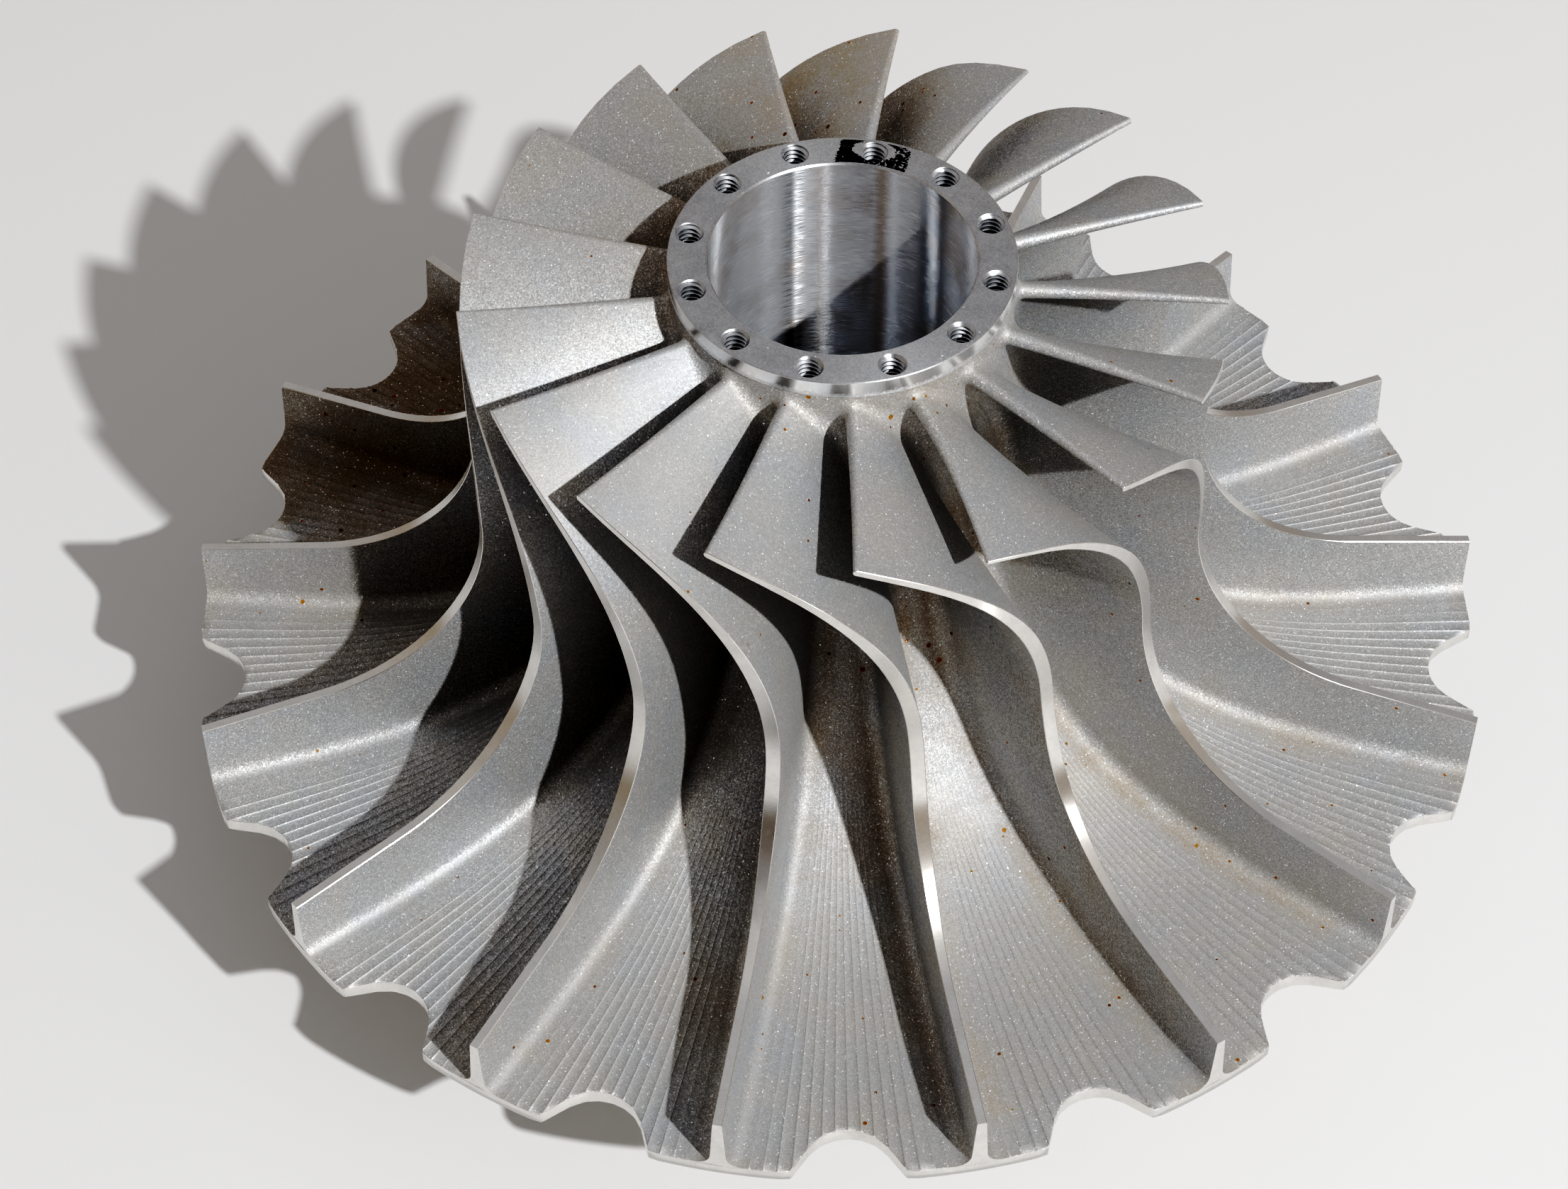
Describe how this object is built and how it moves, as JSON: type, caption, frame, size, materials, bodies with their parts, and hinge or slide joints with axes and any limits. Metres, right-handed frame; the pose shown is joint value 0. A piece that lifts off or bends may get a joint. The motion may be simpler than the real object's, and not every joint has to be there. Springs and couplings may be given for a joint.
{
  "type": "radial turbine wheel",
  "caption": "Radial inflow turbine wheel with twisted blades, a scalloped back disc and a bored nose with tapped holes; it turns expanding gas flow into shaft power.",
  "frame": {"origin": "on the wheel's axis at the flat rear face of the boss that it stands on", "axes": "+Z along the wheel's axis towards the nose ring, where the gas leaves; -Y towards the picture's camera"},
  "size_m": [0.32, 0.3195, 0.1844],
  "materials": {
    "blasted_aluminium": "bead blasted, satin",
    "turned_aluminium": "turned, bright"
  },
  "bodies": {
    "root": {"nose_ring": "turned_aluminium", "hub_core": "blasted_aluminium", "scalloped_disc": "blasted_aluminium", "rear_boss": "turned_aluminium", "blade_01": "blasted_aluminium", "blade_02": "blasted_aluminium", "blade_03": "blasted_aluminium", "blade_04": "blasted_aluminium", "blade_05": "blasted_aluminium", "blade_06": "blasted_aluminium", "blade_07": "blasted_aluminium", "blade_08": "blasted_aluminium", "blade_09": "blasted_aluminium", "blade_10": "blasted_aluminium", "blade_11": "blasted_aluminium", "blade_12": "blasted_aluminium", "blade_13": "blasted_aluminium", "blade_14": "blasted_aluminium", "blade_15": "blasted_aluminium", "blade_16": "blasted_aluminium", "blade_17": "blasted_aluminium"}
  },
  "joints": []
}
